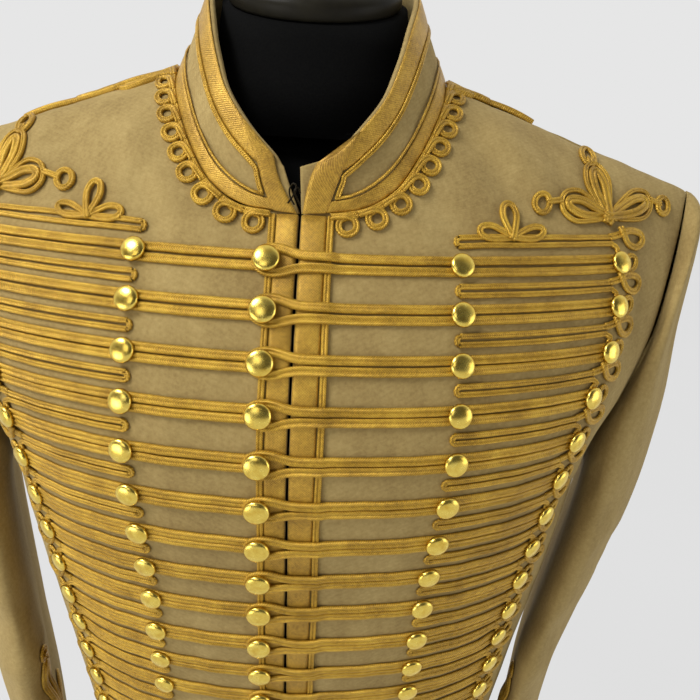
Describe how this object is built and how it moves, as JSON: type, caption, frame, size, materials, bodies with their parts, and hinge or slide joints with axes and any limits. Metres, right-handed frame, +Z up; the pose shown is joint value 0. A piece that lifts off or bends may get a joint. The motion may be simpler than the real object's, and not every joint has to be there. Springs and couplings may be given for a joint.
{
  "type": "hussar jacket on dress form",
  "caption": "Short stand-collared jacket with rows of looped gold braid and ball buttons across the front, worn on a limbless dress form that it stands on.",
  "frame": {"origin": "on the dress form's flat base, in the jacket's middle plane and under its side seams", "axes": "+Z up from the base to the collar, -Y out of the buttoned front, +X to the wearer's left"},
  "size_m": [0.508, 0.2325, 0.8094],
  "materials": {
    "form_matte_black": "matt black covering",
    "neck_cap_black": "satin black",
    "khaki_wool_front": "khaki twill wool",
    "khaki_wool_back": "khaki twill wool",
    "khaki_wool_sleeve": "khaki twill wool",
    "khaki_wool_collar": "khaki twill wool",
    "woven_gold_lace": "woven gold lace",
    "gold_braid_and_buttons": "gold braid with polished gold buttons",
    "gold_cord": "gold cord"
  },
  "bodies": {
    "root": {"form_torso": "form_matte_black", "form_neck_cap": "neck_cap_black", "collar": "khaki_wool_collar", "collar_lace": "woven_gold_lace", "front_left": "khaki_wool_front", "front_right": "khaki_wool_front", "back_left": "khaki_wool_back", "back_right": "khaki_wool_back", "sleeve_left": "khaki_wool_sleeve", "sleeve_right": "khaki_wool_sleeve", "edge_lace_left": "woven_gold_lace", "edge_lace_right": "woven_gold_lace", "neck_loops_left": "gold_cord", "neck_loops_right": "gold_cord", "shoulder_knot_left": "gold_cord", "shoulder_knot_right": "gold_cord", "shoulder_cord_left": "gold_cord", "shoulder_cord_right": "gold_cord", "cuff_knot_left": "gold_cord", "cuff_knot_right": "gold_cord", "row_left_01": "gold_braid_and_buttons", "row_left_02": "gold_braid_and_buttons", "row_left_03": "gold_braid_and_buttons", "row_left_04": "gold_braid_and_buttons", "row_left_05": "gold_braid_and_buttons", "row_left_06": "gold_braid_and_buttons", "row_left_07": "gold_braid_and_buttons", "row_left_08": "gold_braid_and_buttons", "row_left_09": "gold_braid_and_buttons", "row_left_10": "gold_braid_and_buttons", "row_left_11": "gold_braid_and_buttons", "row_left_12": "gold_braid_and_buttons", "row_left_13": "gold_braid_and_buttons", "row_left_14": "gold_braid_and_buttons", "row_left_15": "gold_braid_and_buttons", "row_left_16": "gold_braid_and_buttons", "row_right_01": "gold_braid_and_buttons", "row_right_02": "gold_braid_and_buttons", "row_right_03": "gold_braid_and_buttons", "row_right_04": "gold_braid_and_buttons", "row_right_05": "gold_braid_and_buttons", "row_right_06": "gold_braid_and_buttons", "row_right_07": "gold_braid_and_buttons", "row_right_08": "gold_braid_and_buttons", "row_right_09": "gold_braid_and_buttons", "row_right_10": "gold_braid_and_buttons", "row_right_11": "gold_braid_and_buttons", "row_right_12": "gold_braid_and_buttons", "row_right_13": "gold_braid_and_buttons", "row_right_14": "gold_braid_and_buttons", "row_right_15": "gold_braid_and_buttons", "row_right_16": "gold_braid_and_buttons"}
  },
  "joints": []
}
